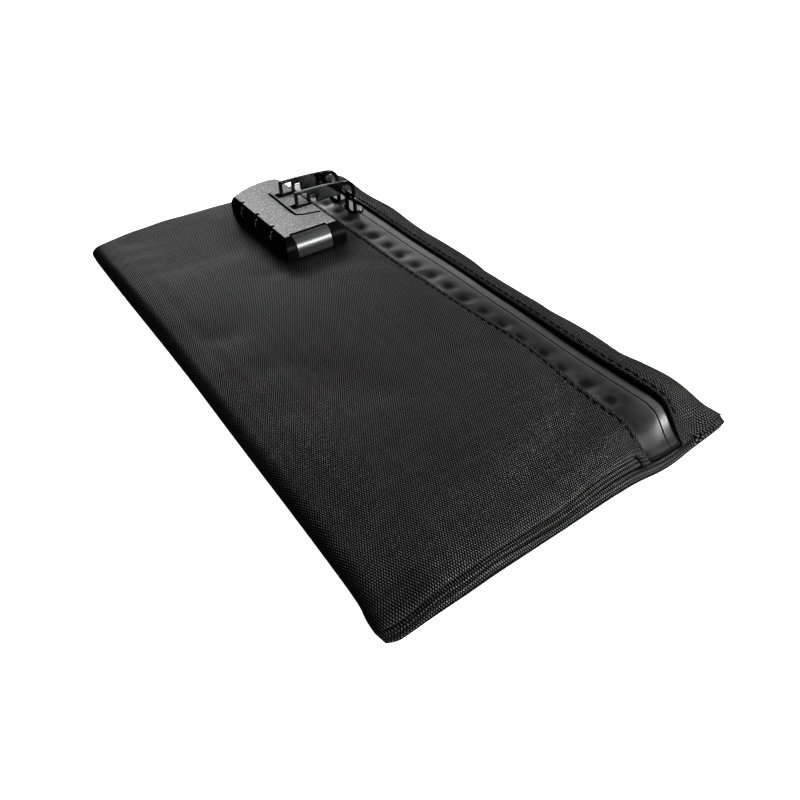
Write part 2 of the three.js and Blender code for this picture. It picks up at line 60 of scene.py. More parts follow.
def box_mm(node):
    """The lowest and highest corners of a CAD node, in millimetres."""
    low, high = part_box(node)
    return np.array(low) / MM, np.array(high) / MM


# ---------------------------------------------------------------- sizes from the frame
HALF_X, HALF_Y, TOP = box_mm("outer_cover")[1]
TAPE_LOW, TAPE_HIGH = box_mm("zip_tape_near")
FAR_TAPE_LOW, FAR_TAPE_HIGH = box_mm("zip_tape_far")
SLIT_Y = (TAPE_HIGH[1] + FAR_TAPE_LOW[1]) / 2
SEWN_UNDER = 5.5
NEAR_EDGE = TAPE_LOW[1] + SEWN_UNDER
FAR_EDGE = FAR_TAPE_HIGH[1] - SEWN_UNDER
TAPE_TOP = TAPE_HIGH[2]
LOCK_LOW, LOCK_HIGH = box_mm("lock_housing")
PLATE_TOP = box_mm("lock_top_plate")[1][2]

# ---------------------------------------------------------------- the pouch's form
# The last END_REACH of cloth turns down to the seam, and takes up END_INSET of the pouch's length.
END_REACH = 18.0
END_INSET = 14.2
PATTERN_HALF = HALF_X - END_INSET + END_REACH
SEAM_HEIGHT = 7.0
FAR_TOP = TOP + 0.6
FOLD_RADIUS = 5.5
SIDE_RADIUS = 14.5
SIDE_RADIUS_BELOW = 9.0
FOLD_HEIGHT = 6.6
PUCKER_PITCH = 12.4
PUCKER_LINE = NEAR_EDGE + 6.2
HOLLOWS_END = 120.0
TAPE_LIFT = 0.35

COVER_THICKNESS = 0.5
TAPE_THICKNESS = 0.4
LAYER_THICKNESS = 0.4
COVER_STEP = 1.5
TAPE_STEP = 1.2
LAYER_STEP = 3.0

# How the upper and lower cloth run into an end seam: distance along the cloth from the seam,
# place outward of the end, and share of the full height above or below the seam.
SEAM_INSET = 3.7
STEEP_END = [(0, -3.7, 0.0), (0.9, -1.7, 0.06), (1.7, -0.6, 0.15), (2.5, -0.7, 0.27), (3.2, -1.7, 0.34),
             (4.0, -3.4, 0.37), (4.8, -3.1, 0.44), (5.6, -2.2, 0.52), (6.6, -2.7, 0.64), (8.2, -4.2, 0.79),
             (9.6, -5.6, 0.88), (11.4, -7.4, 0.94), (14, -10.0, 0.98), (18, -14.2, 1.0)]
SLOPED_END = [(0, -3.7, 0.0), (0.9, -2.6, 0.06), (1.8, -2.0, 0.15), (2.7, -2.6, 0.25), (3.4, -3.8, 0.31),
              (4.2, -5.3, 0.34), (5.0, -5.3, 0.42), (6.2, -5.5, 0.54), (8.4, -7.3, 0.74), (9.8, -8.6, 0.82),
              (11.6, -10.1, 0.90), (14, -11.8, 0.96), (18, -14.2, 1.0)]
LOWER_END = [(0, -3.7, 0.0), (0.9, -1.6, 0.05), (1.6, -0.3, 0.11), (2.2, -0.4, 0.18), (2.9, -2.2, 0.24),
             (3.6, -2.3, 0.31), (4.5, -0.8, 0.42), (5.8, -0.1, 0.62), (7.4, -0.7, 0.85), (9.0, -2.7, 0.97),
             (12, -8.0, 1.0), (18, -14.2, 1.0)]
ZIP_END = [(0, -3.7, 0.0), (0.9, -2.0, 0.06), (1.8, -1.4, 0.16), (3.2, -2.0, 0.32), (5.2, -3.8, 0.51),
           (8.0, -6.4, 0.73), (11, -9.0, 0.90), (14, -11.4, 0.98), (18, -14.2, 1.0)]


def smooth(low, high, value):
    """A smooth step from 0 at low to 1 at high; low may be the larger."""
    t = np.clip((value - low) / (high - low), 0, 1)
    return t * t * (3 - 2 * t)


def curve_through(points, column, s):
    """A smooth cubic curve's value at each s, through the points' chosen column."""
    keys = np.array([p[0] for p in points], float)
    values = np.array([p[column] for p in points], float)
    slope = np.gradient(values, keys)
    k = np.clip(np.searchsorted(keys, s, side="right") - 1, 0, len(keys) - 2)
    width = keys[k + 1] - keys[k]
    t = np.clip((s - keys[k]) / width, 0, 1)
    a, b = values[k], values[k + 1]
    ma, mb = slope[k] * width, slope[k + 1] * width
    return (2 * t**3 - 3 * t**2 + 1) * a + (t**3 - 2 * t**2 + t) * ma \
        + (3 * t**2 - 2 * t**3) * b + (t**3 - t**2) * mb


def bump(value, centre, width):
    """A rounded bump, 1 at its centre and 0.37 at its width from it."""
    return np.exp(-((value - centre) / width) ** 2)


def seam_height(y):
    """The end seam wanders up and down, and dips into the corners."""
    wander = 2.0 * bump(y, -36, 10) - 0.6 * bump(y, -8, 7) + 0.9 * bump(y, 13, 12)
    return SEAM_HEIGHT + wander - 1.4 * smooth(-HALF_Y + 16, -HALF_Y + 2, y) - 0.9 * smooth(42, 66, y)


def end_bulge(y):
    """How far the pouch's ends stand out, most beside the end of the zip."""
    return 2.0 * bump(y, 52, 17) - 0.4 * smooth(10, -15, y) - 1.6 * smooth(-HALF_Y + 6, -HALF_Y - 1, y)


def swell(x, y):
    """The soft rise and fall of the top, away from the ends."""
    waves = 0.42 * np.sin(x / 41 + y / 23 + 0.6) + 0.28 * np.sin(x / 19 - y / 31 + 2.1) \
        + 0.16 * np.sin(x / 9.5 + y / 14 + 4.0)
    hollow = -1.0 * bump(x, -112, 26) * bump(y, -56, 20) - 0.7 * bump(x, 66, 55) * bump(y, -30, 26)
    return waves * smooth(0, 30, HALF_X - np.abs(x)) + hollow


def crown(x):
    """Where the zip side's fold stands full (1) or lies flat (0) along the pouch."""
    return np.clip(1.0 * bump(x, 114, 15) + 0.75 * bump(x, -122, 13) + 0.7 * bump(x, -72, 17)
                   + 0.25 * bump(x, 62, 25), 0, 1)


def drape(x, y, z):
    """Takes a point of the flat-lying pattern to its place, closing the pouch at both ends."""
    x, y, z = np.broadcast_arrays(np.asarray(x, float), np.asarray(y, float), np.asarray(z, float))
    side = np.where(x < 0, -1.0, 1.0)
    s = PATTERN_HALF - np.abs(x)
    seam = seam_height(y)
    upper = z >= seam
    share = np.where(upper, (z - seam) / (TOP - seam), (seam - z) / seam)
    from_seam = np.minimum(s, END_REACH)
    zip_share = smooth(30, 44, y)
    slope_share = smooth(-12, 28, y)
    profiles = (STEEP_END, SLOPED_END, ZIP_END)
    above = []
    for column in (1, 2):
        steep, sloped, by_zip = (curve_through(profile, column, from_seam) for profile in profiles)
        folded = steep + (sloped - steep) * slope_share
        above.append(folded + (by_zip - folded) * zip_share)
    ripple = 0.12 * np.sin(y / 13 + 1.0) + 0.08 * np.sin(y / 5.7)
    out = np.where(upper, above[0], curve_through(LOWER_END, 1, from_seam)) \
        - ripple * smooth(9, 5, from_seam) * smooth(0, 2, from_seam)
    height = np.where(upper, above[1], curve_through(LOWER_END, 2, from_seam))
    straight = -SEAM_INSET - (END_INSET - SEAM_INSET) * from_seam / END_REACH
    offset = straight + (out - straight) * smooth(0.12, 0.6, share)
    reach = HALF_X + offset - np.maximum(s - END_REACH, 0)
    placed_z = seam + (z - seam) * height
    # The folded edge's corners are flattened, more at the +X end.
    corner = smooth(-HALF_Y + 24, -HALF_Y + 3, y) * smooth(30, 5, s)
    placed_z = placed_z * (1 - np.where(x > 0, 0.40, 0.14) * corner)
    # The zip side's corners are drawn out to a point.
    point = smooth(HALF_Y - 13, HALF_Y, y) * smooth(16, 0, s)
    placed_z = placed_z + (SEAM_HEIGHT + 1.0 - placed_z) * np.where(upper, 0.62, 0.42) * point
    # A dimple in the zip side's corner at the +X end.
    dent = bump(x, 136.0, 4.6) * bump(y, 66.5, 5.0)
    placed_z = placed_z - 2.8 * dent * np.where(upper, smooth(0.05, 0.5, share), 0)
    # The end seam draws the cloth beside the zip towards the folded edge.
    gathered = -7.6 * smooth(24, 3, s) * smooth(24, 50, y) * smooth(HALF_Y, 59, y)
    bulge = end_bulge(y) * smooth(26, 6, s)
    return np.stack([side * (reach + bulge + 2.3 * point), y + gathered, placed_z], -1)


# ---------------------------------------------------------------- meshes
def new_object(name, mesh):
    obj = bpy.data.objects.new(name, mesh)
    bpy.context.scene.collection.objects.link(obj)
    return obj


def shade(mesh):
    mesh.polygons.foreach_set("use_smooth", [True] * len(mesh.polygons))
    mesh.update()


def grid_object(name, points, cloth_uv, flip=False):
    """A cloth surface from a grid of points in mm, with its flat pattern as a UV map in metres."""
    rows, columns = points.shape[:2]
    index = np.arange(rows * columns).reshape(rows, columns)
    quads = np.stack([index[:-1, :-1], index[1:, :-1], index[1:, 1:], index[:-1, 1:]], -1).reshape(-1, 4)
    if flip:
        quads = quads[:, ::-1]
    mesh = bpy.data.meshes.new(name)
    mesh.from_pydata((points.reshape(-1, 3) * MM).tolist(), [], quads.tolist())
    layer = mesh.uv_layers.new(name="cloth")
    flat = (cloth_uv.reshape(-1, 2) * MM)[quads.reshape(-1)]
    layer.data.foreach_set("uv", flat.reshape(-1))
    shade(mesh)
    return new_object(name, mesh)


def settle(obj):
    """Applies an object's modifiers to its mesh."""
    bpy.context.view_layer.update()
    evaluated = obj.evaluated_get(bpy.context.evaluated_depsgraph_get())
    mesh = bpy.data.meshes.new_from_object(evaluated)
    obj.modifiers.clear()
    obj.data = mesh
    return obj


def thicken(obj, thickness):
    """Gives a cloth surface its thickness, behind its face."""
    modifier = obj.modifiers.new("thickness", "SOLIDIFY")
    modifier.thickness = thickness * MM
    modifier.offset = -1
    return settle(obj)


# ---------------------------------------------------------------- materials
class Finish:
    """A material with short calls for the nodes that these finishes use."""

    def __init__(self, name, **uniform):
        self.material = bpy.data.materials.new(name)
        self.material.use_nodes = True
        self.tree = self.material.node_tree
        self.shader = self.tree.nodes["Principled BSDF"]
        for socket, value in uniform.items():
            self.shader.inputs[socket.replace("_", " ")].default_value = value

    def put(self, socket, value):
        if isinstance(value, bpy.types.NodeSocket):
            self.tree.links.new(value, socket)
        elif value is not None:
            socket.default_value = value

    def node(self, kind, inputs=(), **settings):
        node = self.tree.nodes.new(kind)
        for key, value in settings.items():
            setattr(node, key, value)
        for key, value in dict(inputs).items():
            self.put(node.inputs[key], value)
        return node

    def math(self, operation, a, b=None, c=None):
        inputs = {i: v for i, v in enumerate((a, b, c)) if v is not None}
        return self.node("ShaderNodeMath", inputs, operation=operation).outputs[0]

    def mix(self, factor, a, b):
        node = self.node("ShaderNodeMix", data_type="RGBA")
        self.put(node.inputs[0], factor)
        self.put(node.inputs[6], a)
        self.put(node.inputs[7], b)
        return node.outputs[2]

    def between(self, value, low, high):
        return self.node("ShaderNodeMapRange", {0: value, 3: low, 4: high}).outputs[0]

    def band(self, value, from_low, from_high, low=0.0, high=1.0):
        return self.node("ShaderNodeMapRange", {0: value, 1: from_low, 2: from_high, 3: low, 4: high},
                         interpolation_type="SMOOTHSTEP").outputs[0]

    def place(self):
        return self.node("ShaderNodeTexCoord").outputs["Object"]

    def cloth(self):
        return self.node("ShaderNodeUVMap", uv_map="cloth").outputs[0]

    def scaled(self, vector, scale):
        return self.node("ShaderNodeVectorMath", {0: vector, 1: scale}, operation="MULTIPLY").outputs[0]

    def noise(self, vector, scale, detail=3.0, roughness=0.5):
        return self.node("ShaderNodeTexNoise", {"Vector": vector, "Scale": scale, "Detail": detail,
                                                "Roughness": roughness}).outputs[0]

    def use(self, **linked):
        for socket, value in linked.items():
            self.put(self.shader.inputs[socket.replace("_", " ")], value)
        return self.material

    def bump(self, height, distance, strength):
        inputs = {"Height": height, "Distance": distance, "Strength": strength}
        return self.node("ShaderNodeBump", inputs).outputs[0]


def grey(value, warm=0.0):
    return (value * (1 + warm), value, value * (1 - warm), 1)


def woven(name, yarn_x, yarn_y, gap, float_low, float_high, relief, sheen_low, sheen_high, **uniform):
    """A plain weave of real yarn spacing: each float is a small dome with its own slope, and painted shade
    darkens it towards its edges.

    The yarns are yarn_x and yarn_y apart. The tone between them, gap, is painted shade. Each of the two
    directions of yarn has its own tone, float_low or float_high, whose difference is painted sheen, and its
    own gloss, sheen_low or sheen_high.
    """
    f = Finish(name, **uniform)
    split = f.node("ShaderNodeSeparateXYZ", {0: f.cloth()})
    drift = f.noise(f.cloth(), 30.0, 2.0)
    wander = f.math("MULTIPLY", f.math("SUBTRACT", drift, 0.5), 1.2)
    a = f.math("ADD", f.math("DIVIDE", split.outputs[0], yarn_x * MM), wander)
    b = f.math("ADD", f.math("DIVIDE", split.outputs[1], yarn_y * MM), wander)
    row_a, row_b = f.math("FLOOR", a), f.math("FLOOR", b)
    part_a, part_b = f.math("FRACT", a), f.math("FRACT", b)
    over = f.math("MODULO", f.math("ABSOLUTE", f.math("ADD", row_a, row_b)), 2.0)
    over = f.math("GREATER_THAN", over, 0.5)
    slope_a = f.math("COSINE", f.math("MULTIPLY", part_a, math.pi))
    slope_b = f.math("COSINE", f.math("MULTIPLY", part_b, math.pi))
    dome = f.math("MULTIPLY", f.math("SINE", f.math("MULTIPLY", part_a, math.pi)),
                  f.math("SINE", f.math("MULTIPLY", part_b, math.pi)))
    tilt_a = f.math("MULTIPLY", slope_a, f.between(over, -relief, -relief * 0.45))
    tilt_b = f.math("MULTIPLY", slope_b, f.between(over, -relief * 0.45, -relief))
    colour = f.node("ShaderNodeCombineXYZ", {0: f.math("MULTIPLY_ADD", tilt_a, 0.5, 0.5),
                                            1: f.math("MULTIPLY_ADD", tilt_b, 0.5, 0.5), 2: 1.0})
    normal = f.node("ShaderNodeNormalMap", {"Color": colour.outputs[0]}, uv_map="cloth").outputs[0]
    yarn_a = f.node("ShaderNodeTexWhiteNoise", {1: row_a}, noise_dimensions="1D").outputs[0]
    yarn_b = f.node("ShaderNodeTexWhiteNoise", {1: row_b}, noise_dimensions="1D").outputs[0]
    yarn = f.math("MULTIPLY_ADD", f.math("ADD", yarn_a, yarn_b), 0.22, 0.78)
    # The two directions' tones differ as painted sheen.
    tone = f.mix(over, grey(float_low), grey(float_high))
    # Painted shade: dark between the yarns and towards each float's edges.
    tone = f.mix(f.math("POWER", dome, 0.8), grey(gap), tone)
    cloudy = f.between(f.noise(f.cloth(), 18.0, 3.0), 0.75, 1.25)
    tone = f.node("ShaderNodeVectorMath", {0: tone, 3: f.math("MULTIPLY", yarn, cloudy)},
                  operation="SCALE").outputs[0]
    uneven = f.math("MULTIPLY", f.math("SUBTRACT", yarn_a, 0.5), 0.1)
    rough = f.math("ADD", f.between(dome, 0.62, 0.38), uneven)
    sheen = f.math("MULTIPLY", yarn, f.between(over, sheen_low, sheen_high))
    shine = f.math("MULTIPLY", f.math("POWER", dome, 0.85), sheen)
    return f.use(Base_Color=tone, Roughness=rough, Normal=normal, Specular_IOR_Level=shine)


def coated_film():
    """The zip tape's coating: satin film with a faint grain and scuffs. Painted shade darkens it and takes
    its gloss in the gathers' hollows, where it is turned in at the ends, and under the far hem."""
    film_shine, shade_shine_cut = 0.33, 0.27
    f = Finish("zip_film", Specular_IOR_Level=film_shine)
    cloud = f.noise(f.place(), 90.0, 4.0)
    grain = f.noise(f.place(), 2600.0, 2.0)
    split = f.node("ShaderNodeSeparateXYZ", {0: f.cloth()})
    wander = f.math("MULTIPLY", f.math("SUBTRACT", f.noise(f.cloth(), 55.0, 2.0), 0.5), 0.006)
    along = f.math("ADD", f.math("DIVIDE", f.math("ADD", split.outputs[0], wander), PUCKER_PITCH * MM), 0.5)
    from_middle = f.math("ABSOLUTE", f.math("SUBTRACT", f.math("FRACT", along), 0.5))
    across = f.math("ADD", split.outputs[1], wander)
    off_line = f.math("ABSOLUTE", f.math("SUBTRACT", across, PUCKER_LINE * MM))
    # Painted shade in the gathers' hollows and where the tape is turned in at the ends, and a painted shadow
    # under the far hem.
    hollow = f.math("MULTIPLY", f.band(from_middle, 0.44, 0.06), f.band(off_line, 0.0047, 0.0006))
    from_centre = f.math("ABSOLUTE", split.outputs[0])
    hollow = f.math("MULTIPLY", hollow, f.band(from_centre, HOLLOWS_END * MM, (HOLLOWS_END - 6) * MM))
    turned_in_shade = f.band(from_centre, (PATTERN_HALF - 4.6) * MM, (PATTERN_HALF - 3.2) * MM)
    under_hem_shadow = f.band(split.outputs[1], (FAR_EDGE - 1.6) * MM, (FAR_EDGE - 1.1) * MM)
    hollow = f.math("MAXIMUM", hollow, f.math("MAXIMUM", turned_in_shade, under_hem_shadow))
    scuffed = f.band(f.noise(f.place(), 210.0, 5.0, 0.65), 0.35, 0.75)
    # Painted shade: near black, rougher and with less gloss wherever that mask is.
    tone = f.mix(hollow, f.mix(cloud, grey(0.005), grey(0.010)), grey(0.0008))
    rough = f.math("ADD", f.between(cloud, 0.23, 0.36), f.between(grain, -0.04, 0.04))
    rough = f.math("ADD", rough, f.math("MULTIPLY_ADD", hollow, 0.35, f.math("MULTIPLY", scuffed, 0.10)))
    shine = f.math("MULTIPLY_ADD", hollow, -shade_shine_cut, film_shine)
    return f.use(Base_Color=tone, Roughness=rough, Specular_IOR_Level=shine,
                 Normal=f.bump(grain, 0.00003, 0.5))


def thread_finish():
    """Black sewing thread, with its twist as diagonal bands."""
    f = Finish("thread_black", Specular_IOR_Level=0.15)
    twist = f.node("ShaderNodeTexWave", {"Vector": f.place(), "Scale": 900.0, "Distortion": 1.0},
                   bands_direction="DIAGONAL").outputs[1]
    return f.use(Base_Color=f.mix(twist, grey(0.001), grey(0.006)), Roughness=f.between(twist, 0.8, 0.6),
                 Normal=f.bump(twist, 0.00006, 0.6))


def black_nickel():
    """Black plating, smeared a little along X."""
    f = Finish("black_nickel", Metallic=1.0)
    smear = f.noise(f.scaled(f.place(), (1.0, 3.0, 1.0)), 160.0, 4.0)
    fine = f.noise(f.place(), 1500.0, 2.0)
    tone = f.mix(smear, grey(0.012, -0.02), grey(0.035, -0.01))
    rough = f.math("ADD", f.between(smear, 0.05, 0.13), f.between(fine, -0.02, 0.03))
    return f.use(Base_Color=tone, Roughness=rough, Normal=f.bump(fine, 0.00001, 0.4))


def stippled_plate(seat, face):
    """Dark grey paint with a fine raised stipple, and painted shade: black without gloss below its face."""
    plate_shine = 0.45
    f = Finish("stippled_grey", Specular_IOR_Level=plate_shine)
    cells = f.node("ShaderNodeTexVoronoi", {"Vector": f.place(), "Scale": 1350.0, "Randomness": 1.0})
    pips = f.band(cells.outputs["Distance"], 0.50, 0.12)
    chance = f.node("ShaderNodeSeparateXYZ", {0: cells.outputs["Color"]}).outputs[0]
    bright = f.math("MULTIPLY", pips, f.between(chance, 0.35, 1.0))
    cloud = f.noise(f.place(), 60.0, 3.0)
    tone = f.mix(bright, f.mix(cloud, grey(0.085), grey(0.105)), grey(0.40))
    # Painted shade in the groove and down the rim: black and without gloss below the face level.
    level = f.node("ShaderNodeSeparateXYZ", {0: f.place()}).outputs[2]
    above_painted_shade = f.band(level, seat * MM, face * MM)
    tone = f.mix(above_painted_shade, grey(0.003), tone)
    return f.use(Base_Color=tone, Roughness=f.between(pips, 0.62, 0.42), Normal=f.bump(pips, 0.00009, 0.7),
                 Specular_IOR_Level=f.math("MULTIPLY", above_painted_shade, plate_shine))


def moulded(name, tone, rough, grain_scale, grain_depth, **uniform):
    """A moulding with a fine spark-eroded grain, and cloudy changes of its tone and gloss."""
    f = Finish(name, **uniform)
    grain = f.noise(f.place(), grain_scale, 3.0, 0.6)
    cloud = f.noise(f.place(), 70.0, 3.0)
    colour = f.mix(cloud, grey(tone * 0.7), grey(tone * 1.3))
    roughness = f.math("ADD", f.between(grain, rough - 0.06, rough + 0.08), f.between(cloud, -0.03, 0.03))
    return f.use(Base_Color=colour, Roughness=roughness, Normal=f.bump(grain, grain_depth, 0.6))


def turned_metal(name, tone, warm, rough, direction):
    """Bare metal with tool marks, stretched along the axis where direction is small."""
    f = Finish(name, Metallic=1.0)
    lines = f.noise(f.scaled(f.place(), direction), 900.0, 2.0)
    colour = f.mix(lines, grey(tone * 0.8, warm), grey(tone, warm))
    return f.use(Base_Color=colour, Roughness=f.between(lines, rough - 0.08, rough + 0.12),
                 Normal=f.bump(lines, 0.00002, 0.4))


COVER_CLOTH = woven("cover_nylon", yarn_x=0.83, yarn_y=0.455, gap=0.0002, float_low=0.0005,
                    float_high=0.0130, relief=0.50, sheen_low=0.02, sheen_high=1.0,
                    Specular_IOR_Level=0.4)
BARRIER_CLOTH = woven("glass_cloth", yarn_x=1.2, yarn_y=1.2, gap=0.10, float_low=0.26, float_high=0.36,
                      relief=0.5, sheen_low=0.2, sheen_high=0.4, Specular_IOR_Level=0.3)
LINING_CLOTH = woven("silver_lining", yarn_x=0.5, yarn_y=0.5, gap=0.22, float_low=0.42, float_high=0.52,
                     relief=0.3, sheen_low=0.4, sheen_high=0.6, Metallic=0.55)
FILM = coated_film()
THREAD = thread_finish()
NICKEL = black_nickel()
PLATE = stippled_plate(seat=PLATE_TOP - 0.06, face=PLATE_TOP - 0.01)
HOUSING = moulded("lock_black", tone=0.0015, rough=0.36, grain_scale=2400.0, grain_depth=0.00004,
                  Specular_IOR_Level=0.025)
GLOSS = moulded("button_gloss", tone=0.007, rough=0.36, grain_scale=1600.0, grain_depth=0.000006,
                Specular_IOR_Level=0.6)
DIAL = moulded("dial_gloss", tone=0.002, rough=0.16, grain_scale=2000.0, grain_depth=0.000004,
               Specular_IOR_Level=0.8)
NUMERAL = moulded("numeral_paint", tone=0.55, rough=0.45, grain_scale=1800.0, grain_depth=0.00001)
COIL = moulded("coil_nylon", tone=0.012, rough=0.45, grain_scale=2200.0, grain_depth=0.00003)
STEEL = turned_metal("spring_steel", tone=0.55, warm=0.0, rough=0.3, direction=(0.2, 1, 1))
BRASS = turned_metal("turned_brass", tone=0.6, warm=0.25, rough=0.3, direction=(0.1, 1, 1))


def dress(obj, material, body, slot, *replaced):
    """Gives a piece its material and its body, and hides the CAD nodes that it stands for; slot is not used.
    """
    obj.data.materials.clear()
    obj.data.materials.append(material)
    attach(obj, body)
    if replaced:
        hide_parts(*replaced)
    return obj


# ---------------------------------------------------------------- the cover
def pattern_stations(step):
    """Places along the cloth in X, close together where it turns in to an end seam."""
    turned = np.array([0, 0.4, 0.8, 1.2, 1.6, 2.0, 2.4, 2.9, 3.4, 3.9, 4.4, 5.0, 5.6, 6.2, 6.8, 7.4, 8.1, 9.0,
                       10.1, 11.2, 12.4, 13.7, 15.0, 16.5, 18.0])
    middle = np.arange(-PATTERN_HALF + END_REACH + step, PATTERN_HALF - END_REACH - step / 2, step)
    return np.concatenate([-PATTERN_HALF + turned, middle, (PATTERN_HALF - turned)[::-1]])


def folded_edge_y(x):
    """The folded long edge, which flares slightly towards both corners."""
    return -HALF_Y - 2.3 * smooth(10, -130, x) + 0.4 * bump(x, 95, 45) - 0.8 * smooth(122, 140, x)


def zip_side_y(x):
    """The long edge beside the zip, drawn in where it lies flat."""
    return HALF_Y - 1.0 * bump(x, -50, 28) - 2.2 * bump(x, 24, 32) - 1.7 * bump(x, 60, 14) \
        - 0.8 * bump(x, 110, 8)


def hem_shift(x):
    """How far the near hem bows over the tape."""
    return 4.2 * bump(x, 66, 36)


STITCH_NEAR_Y = NEAR_EDGE - 1.7
STITCH_FAR_Y = FAR_EDGE + 2.0
HEM = 1.3
FAR_HEM = 1.5
# How many columns of the cross-section lie in the near hem, beside its seam and in the far hem.
HEM_COLUMNS = 7
SEAM_COLUMNS = 9
FAR_HEM_COLUMNS = 14


def cross_section(x):
    """The cover's outer line at pattern places x, from the near hem round to the far hem."""
    x = np.asarray(x, float)[:, None]
    ys, zs = [], []

    def run(y, z):
        y, z = np.broadcast_arrays(np.asarray(y, float) + 0 * x, np.asarray(z, float) + 0 * x)
        ys.append(y)
        zs.append(z)

    hem_y = np.array([NEAR_EDGE - 6, NEAR_EDGE - 2.5, NEAR_EDGE - 0.6, NEAR_EDGE, NEAR_EDGE + 0.25,
                      NEAR_EDGE, NEAR_EDGE - 0.45])
    hem_z = TOP + np.array([-HEM, -HEM, -HEM, -HEM + 0.25, -HEM / 2, -0.12, 0.03])
    shift = hem_shift(x)
    run(hem_y + shift, hem_z + swell(x, NEAR_EDGE))
    top_y = np.concatenate([
        NEAR_EDGE - np.array([0.9, 1.2, 1.45, 1.7, 1.95, 2.2, 2.6, 3.2, 4.0]),
        np.arange(NEAR_EDGE - 5.4, -HALF_Y + FOLD_RADIUS + 3.0, -1.5),
    ])
    groove = -0.25 * bump(top_y, STITCH_NEAR_Y, 0.5)
    run(top_y + shift * smooth(4, NEAR_EDGE - 4, top_y), TOP + groove + swell(x, top_y))
    edge = folded_edge_y(x)
    turn = np.linspace(0.5, 0, 9)[None, 1:] * math.pi
    fold_top = TOP + swell(x, -HALF_Y + FOLD_RADIUS)
    run(edge + FOLD_RADIUS - FOLD_RADIUS * np.cos(turn) ** 0.9,
        FOLD_HEIGHT + (fold_top - FOLD_HEIGHT) * np.sin(turn) ** 0.85)
    turn = np.linspace(0, 0.5, 8)[None, 1:] * math.pi
    run(edge + FOLD_RADIUS - FOLD_RADIUS * np.cos(turn) ** 0.9,
        FOLD_HEIGHT - FOLD_HEIGHT * np.sin(turn) ** 0.85)
    run(np.arange(-HALF_Y + FOLD_RADIUS + 3, HALF_Y - SIDE_RADIUS_BELOW - 1, 3.0), 0)
    side_edge = zip_side_y(x)
    turn = np.linspace(0.5, 0, 9)[None, :-1] * math.pi
    run(side_edge - SIDE_RADIUS_BELOW * (1 - np.cos(turn)), FOLD_HEIGHT - FOLD_HEIGHT * np.sin(turn))
    full = crown(x)
    turn = np.linspace(0, 0.5, 17)[None, :] * math.pi
    far_top = FAR_TOP + 0.9 * full
    run(side_edge - (SIDE_RADIUS + side_edge - HALF_Y) * (1 - np.cos(turn) ** (1.0 - 0.15 * full)),
        FOLD_HEIGHT + (far_top - FOLD_HEIGHT) * np.sin(turn) ** (1.75 - 0.85 * full))
    side_y = FAR_EDGE + np.array([2.7, 2.4, 2.2, 2.0, 1.8, 1.5, 1.1, 0.7, 0.25, 0.0, 0.25, 0.8, 3.0, 5.5])
    side_z = np.array([0, -0.06, -0.16, -0.24, -0.16, -0.05, 0, -0.03, -0.2, -0.75, -1.3,
                       -FAR_HEM, -FAR_HEM, -FAR_HEM])
    run(side_y, far_top + side_z)
    return np.concatenate(ys, 1), np.concatenate(zs, 1)


def cover_grid():
    """The cover's grid of points, and where each of them lies on the flat pattern."""
    x = pattern_stations(COVER_STEP)
    y, z = cross_section(x)
    points = drape(x[:, None] + 0 * y, y, z)
    middle_y, middle_z = cross_section([0.0])
    along = np.hypot(np.diff(middle_y[0]), np.diff(middle_z[0]))
    across = NEAR_EDGE - np.concatenate([[0], np.cumsum(along)])
    flat = np.stack(np.broadcast_arrays(x[:, None], across[None, :]), -1)
    return points, flat


CLOTH_STEP = 3.0
CLOTH_FRAMES = 24
LARGEST_MOVE = 0.9
SOFTENING = 6


def held_down(x, y, z):
    """How firmly each place of the cover is held: 1 at seams, hems, floor and lock, 0 where it is free."""
    end = smooth(20, 12, HALF_X - np.abs(x))
    near_stitch = STITCH_NEAR_Y + hem_shift(x)
    seam = smooth(4.5, 1.5, np.minimum(np.abs(y - near_stitch), np.abs(y - STITCH_FAR_Y))) * (z > FOLD_HEIGHT)
    hem = (y > near_stitch + 1.0) & (y < FAR_EDGE + 1)
    floor = smooth(2.5, 1.0, z)
    lock = smooth(LOCK_LOW[0] - 9, LOCK_LOW[0] - 2, x) * smooth(LOCK_HIGH[0] + 9, LOCK_HIGH[0] + 2, x) \
        * smooth(LOCK_LOW[1] - 9, LOCK_LOW[1] - 2, y) * (z > FOLD_HEIGHT)
    fold = 0.85 * smooth(-HALF_Y + 14, -HALF_Y + 7, y)
    return np.clip(np.maximum.reduce([end, seam, hem, floor, lock, fold]), 0, 1)


def spaced_out(places):
    """Which of the places to keep for the coarse cloth: CLOTH_STEP apart, with the first and the last."""
    kept = [0]
    for i, place in enumerate(places):
        if place - places[kept[-1]] >= CLOTH_STEP - 0.01:
            kept.append(i)
    if kept[-1] != len(places) - 1:
        kept.append(len(places) - 1)
    return kept


